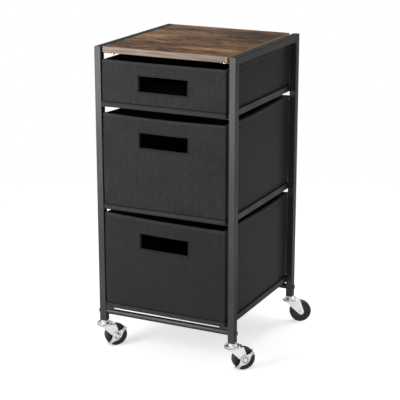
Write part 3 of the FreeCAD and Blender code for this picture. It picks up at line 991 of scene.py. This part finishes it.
def pressed(made, thickness):
    """Give a sheet piece its thickness, inwards, and eased edges."""
    solid = made.modifiers.new("thickness", "SOLIDIFY")
    solid.thickness = thickness
    solid.offset = -1
    bevel = made.modifiers.new("eased_edges", "BEVEL")
    bevel.limit_method = "ANGLE"
    bevel.angle_limit = math.radians(50)
    bevel.width = sheet_edge
    bevel.segments = 2


def rivet_outline(low, high):
    """Axle with a domed, dimpled head at each end: rows of radius, share of its height, and ease."""
    head = [
        (0.0, 0.55, 0),
        (dimple_radius, 0.6, 0.0004),
        (dimple_edge, 1, 0.0003),
        (rivet_radius * 0.8, 1, 0.0008),
        (rivet_radius, 0, 0.0003),
        (axle_radius, 0, 0),
    ]
    rows = [(radius, low - share * rivet_height, ease) for radius, share, ease in head]
    rows += [(radius, high + share * rivet_height, ease) for radius, share, ease in reversed(head)]
    return eased_outline(rows)[:-1]


def mirrored(rows):
    """Closed outline of a wheel part from one side's corners, which the other side mirrors."""
    return eased_outline(rows + [(radius, -half, ease) for radius, half, ease in reversed(rows)])


def tyre_outline(radius):
    """Tyre section: a flat tread, round shoulders, and a shallow ring moulded in each side."""
    ring = radius - tyre_ring
    return mirrored([
        (radius - tyre_depth, tyre_half, 0.0004),
        (ring - tyre_ring_half, tyre_half, 0.0001),
        (ring, tyre_half - tyre_ring_depth, 0.0001),
        (ring + tyre_ring_half, tyre_half, 0.0001),
        (radius, tyre_half, tyre_shoulder),
    ])


def core_outline(radius):
    """Wheel core: hub, thin web and the rim that the tyre sits on."""
    rim = radius - tyre_depth
    section = [
        (hub_bore, hub_half), (hub_radius, hub_half), (hub_radius, web_half), (rim - rim_depth, web_half),
        (rim - rim_depth, tyre_half - rim_inset), (rim, tyre_half - rim_inset),
    ]
    return mirrored([(*corner, 0.0003) for corner in section])


def lever_grid(caster):
    """Brake lever pressed from a strip: an eye round the axle, and arms turned in over the tread.

    Its half width falls off from the eye as a bell curve. The ring stands up as a bell curve of the
    distance from the axle, and the ribs as squared sines along the arms.
    """
    reach = caster.wheel_radius + lever_gap + lever_thickness
    pad = np.linspace(lever_pad + lever_thickness, lever_bend, 5)
    arc = np.linspace(0, np.pi / 2, 7)[1:]
    arm = np.linspace(reach - lever_bend, 0, 90)[1:]
    out = np.concatenate([np.full(len(pad), reach), reach - lever_bend * (1 - np.cos(arc)), arm])
    deep = doubled(np.concatenate([pad, lever_bend * (1 - np.sin(arc)), 0 * arm]))
    out = doubled(out, -1)
    half = lever_arm + (lever_boss - lever_arm) * np.exp(-np.abs(out / eye_length) ** 3)
    across = np.linspace(-1, 1, 25) * half
    crest = ring_height * np.exp(-((np.hypot(out, across) - ring_radius) / ring_width) ** 2)
    rib = np.clip((np.abs(out) - rib_start) / rib_pitch, 0, rib_count) * (deep == 0)
    crest = crest + rib_height * np.sin(np.pi * rib) ** 2
    x = caster.trail + out * math.cos(lever_tilt) - across * math.sin(lever_tilt)
    z = caster.wheel_radius + out * math.sin(lever_tilt) + across * math.cos(lever_tilt)
    point = caster.place(x, -lever_outer + deep - crest, z)
    return np.concatenate([point, stacked(out, across)], -1)


def lever_finish():
    """Zinc of the levers: clouded gloss, with painted shade in the groove round the axle and between the
    ribs.

    The strip's own map gives the way along the lever and across it.
    """
    material, place = new_finish("lever_zinc", Metallic=1.0)
    cloud, tone = clouded(place, lever_tone)
    strip = place.node("TexCoord", output="UV")
    reach = strip.length()
    end = abs(strip.part(0))
    rib_end = rib_start + rib_count * rib_pitch
    groove = abs(reach - groove_radius).ease(0.0009, 0.0003)
    foot = abs(reach - (ring_radius + ring_foot)).ease(0.0007, 0.0002)
    phase = (end - rib_start) * (2 * math.pi / rib_pitch)
    ribbed = end.ease(rib_start - 0.0008, rib_start - 0.0002)
    ribbed = ribbed * end.ease(rib_end + 0.0008, rib_end + 0.0002)
    between_ribs = phase.math("COSINE", phase).ease(0.1, 0.9) * ribbed
    # Painted shade: darker in patches in the groove round the axle, at the ring's foot and between the
    # ribs.
    groove_shade = (groove + 0.6 * foot + between_ribs) * (0.55 + 0.45 * cloud)
    groove_shade.at_most(0.9).blend(tone, groove_shade_tone).feed("Base Color")
    (0.22 + 0.16 * cloud + 0.25 * groove_shade).feed("Roughness")
    place.noise(scratch_lumps, 3).bump(scratch_depth).feed("Normal")
    return material


def dull_black(name, dark, light, low_rough, high_rough, grain):
    """Black rubber or plastic: faint mould marks, and dust that greys it in places."""
    material, place = new_finish(name, Specular_IOR_Level=0.4)
    cloud = place.noise(45, 4, 0.6)
    cloud.ease(0.3, 0.75).blend(dark, light).feed("Base Color")
    (low_rough + (high_rough - low_rough) * cloud).feed("Roughness")
    place.noise(grain, 2).bump(0.00005).feed("Normal")
    return material


tyre_rubber = dull_black("tyre_rubber", (30, 30, 31), (40, 40, 41), 0.5, 0.7, 800)
core_plastic = dull_black("core_plastic", (42, 42, 43), (54, 54, 55), 0.35, 0.5, 400)
socket_plastic = dull_black("socket_plastic", (26, 26, 27), (34, 34, 35), 0.4, 0.6, 500)
zinc = plain_metal("zinc_plate", (208, 208, 209), 0.2, 0.36)
cup_zinc = plain_metal("cup_zinc", (192, 192, 194), 0.34, 0.46)
lever_zinc = lever_finish()
sheets = {"_pressed_fork": fork_sheet, "_brake_plate": lever_thickness}
dress(socket_plastic, "leg_sockets")
dress(plain_metal("ball_steel", (196, 196, 198), 0.08, 0.15), "swivel_balls")
for corner in corners:
    caster = Caster(corner)
    braked = corner.startswith("front")
    swivels = corner + "_caster"
    rolls = corner + "_wheel"
    stem = turned(stem_outline(caster), caster.swivel, (0, 0, 1))
    axle = rivet_outline(-lever_outer if braked else -fork_half, fork_half)
    axle = turned(axle, caster.hub, caster.across)
    core = turned(core_outline(caster.wheel_radius), caster.hub, caster.across)
    tyre = turned(tyre_outline(caster.wheel_radius), caster.hub, caster.across)
    caster_pieces = [
        ("_stem_and_cup", "frame", "zinc_plate", cup_zinc, stem, "_caster_stem"),
        ("_pressed_fork", swivels, "zinc_plate", zinc, fork_grid(caster), "_caster_fork"),
        ("_axle_rivet", swivels, "zinc_plate", zinc, axle, "_caster_axle"),
        ("_wheel_hub", rolls, "wheel_plastic", core_plastic, core, "_wheel_core"),
        ("_tread", rolls, "tyre_rubber", tyre_rubber, tyre, "_tyre"),
    ]
    if braked:
        lever = ("zinc_plate", lever_zinc, lever_grid(caster), "_brake_lever")
        caster_pieces.append(("_brake_plate", corner + "_brake", *lever))
    for name, body, slot, finish, grid, node in caster_pieces:
        made = piece(corner + name, body, slot, finish, grid, stands_for=[corner + node])
        if name in sheets:
            pressed(made, sheets[name])

# Studio: a pale floor keeps the cart's soft shadow and fades into a white surround with an even fill.
# A key lamp stands in front, above and to the left, with a smaller, lower one beside it. One lamp
# lights the floor at the rear right, one stands low behind it, and a wide one hangs overhead.

fill_level = 0.36
floor_radius = 2.6
floor_fade = (0.7, 1.5)
floor_bounce = 0.25
floor_tone = 0.69
floor_glow = 0.6
# Each lamp's place, the point that it faces, its width and its watts.
lamps = {
    "key_lamp": ((-0.75, -1.15, 0.98), (0.0, -0.1, 0.55), 0.6, 9),
    "low_lamp": ((-0.58, -1.25, 0.46), (0.0, -0.1, 0.65), 0.3, 7.5),
    "floor_lamp": ((0.55, 0.65, 0.2), (0.55, 0.65, 0.0), 0.5, 8),
    "top_lamp": ((0.0, 0.0, 4.0), (0.0, 0.0, 0.0), 2.0, 42),
    "rear_lamp": ((1.1, 1.75, 0.08), (0.1, -0.1, 0.2), 0.7, 6),
}


def seen_direct(shade):
    """1 for rays that show the surround itself: to the camera, in a reflection, or through glass."""
    rays = ("Is Camera Ray", "Is Glossy Ray", "Is Transmission Ray")
    return sum(shade.node("LightPath", output=ray) for ray in rays).at_most(1.0)


def floor_finish():
    """Pale floor: a duller matt to the light, pale with a faint shadow to the eye, clear at its rim."""
    material, place = new_finish("pale_floor")
    matt = place.node("BsdfDiffuse", {}, {"Color": (*[floor_bounce] * 3, 1)})
    faint = place.node("BsdfDiffuse", {}, {"Color": (*[floor_tone] * 3, 1)})
    glow = place.node("Emission", {}, {"Color": (1, 1, 1, 1), "Strength": floor_glow})
    pale = place.node("AddShader", {}, {0: faint, 1: glow})
    floor = place.node("MixShader", {}, {0: seen_direct(place), 1: matt, 2: pale})
    clear = place.node("BsdfTransparent")
    whole = place.node("MixShader", {}, {0: place.length().ease(*floor_fade), 1: floor, 2: clear})
    whole.feed("Surface", "Material Output")
    return material


def studio_floor():
    """Flat disc of rings and spokes on the floor under the cart."""
    ring = np.linspace(0, floor_radius, 12)[:, None]
    turn = np.linspace(0, 2 * np.pi, 65)
    mesh = mesh_of("studio_floor", stacked(ring * np.cos(turn), ring * np.sin(turn), 0.0))
    mesh.materials.append(floor_finish())
    made = bpy.data.objects.new("studio_floor", mesh)
    bpy.context.scene.collection.objects.link(made)


world = bpy.data.worlds.new("white_surround")
bpy.context.scene.world = world
world.use_nodes = True
surround = Shade(world.node_tree)
fill = surround.node("Background", {}, {"Color": (1, 1, 1, 1), "Strength": fill_level})
white = surround.node("Background", {}, {"Color": (1, 1, 1, 1), "Strength": 1.0})
shown = surround.node("MixShader", {}, {0: seen_direct(surround), 1: fill, 2: white})
shown.feed("Surface", "World Output")
studio_floor()
for name, (place, target, width, watts) in lamps.items():
    light = bpy.data.lights.new(name, "AREA")
    light.shape = "SQUARE"
    light.size = width
    light.energy = watts
    lamp = bpy.data.objects.new(name, light)
    lamp.location = place
    lamp.rotation_euler = (Vector(target) - Vector(place)).to_track_quat("-Z", "Y").to_euler()
    bpy.context.scene.collection.objects.link(lamp)

# Camera: to the right of the front, a little above the cart, with a long lens and no shift.
# Its place, turn and lens come from a fit of the frame's corners.

lens = 122.22
sensor = 36.0
turn_left = 25.985
look_down = 16.222
eye = (1.2803, -2.6243, 1.1679)
camera = bpy.data.objects.new("camera", bpy.data.cameras.new("camera"))
camera.data.lens = lens
camera.data.sensor_width = sensor
camera.data.clip_end = 100
camera.location = eye
camera.rotation_euler = (math.radians(90 - look_down), 0, math.radians(turn_left))
bpy.context.scene.collection.objects.link(camera)
bpy.context.scene.camera = camera
bpy.context.scene.view_settings.view_transform = "Standard"
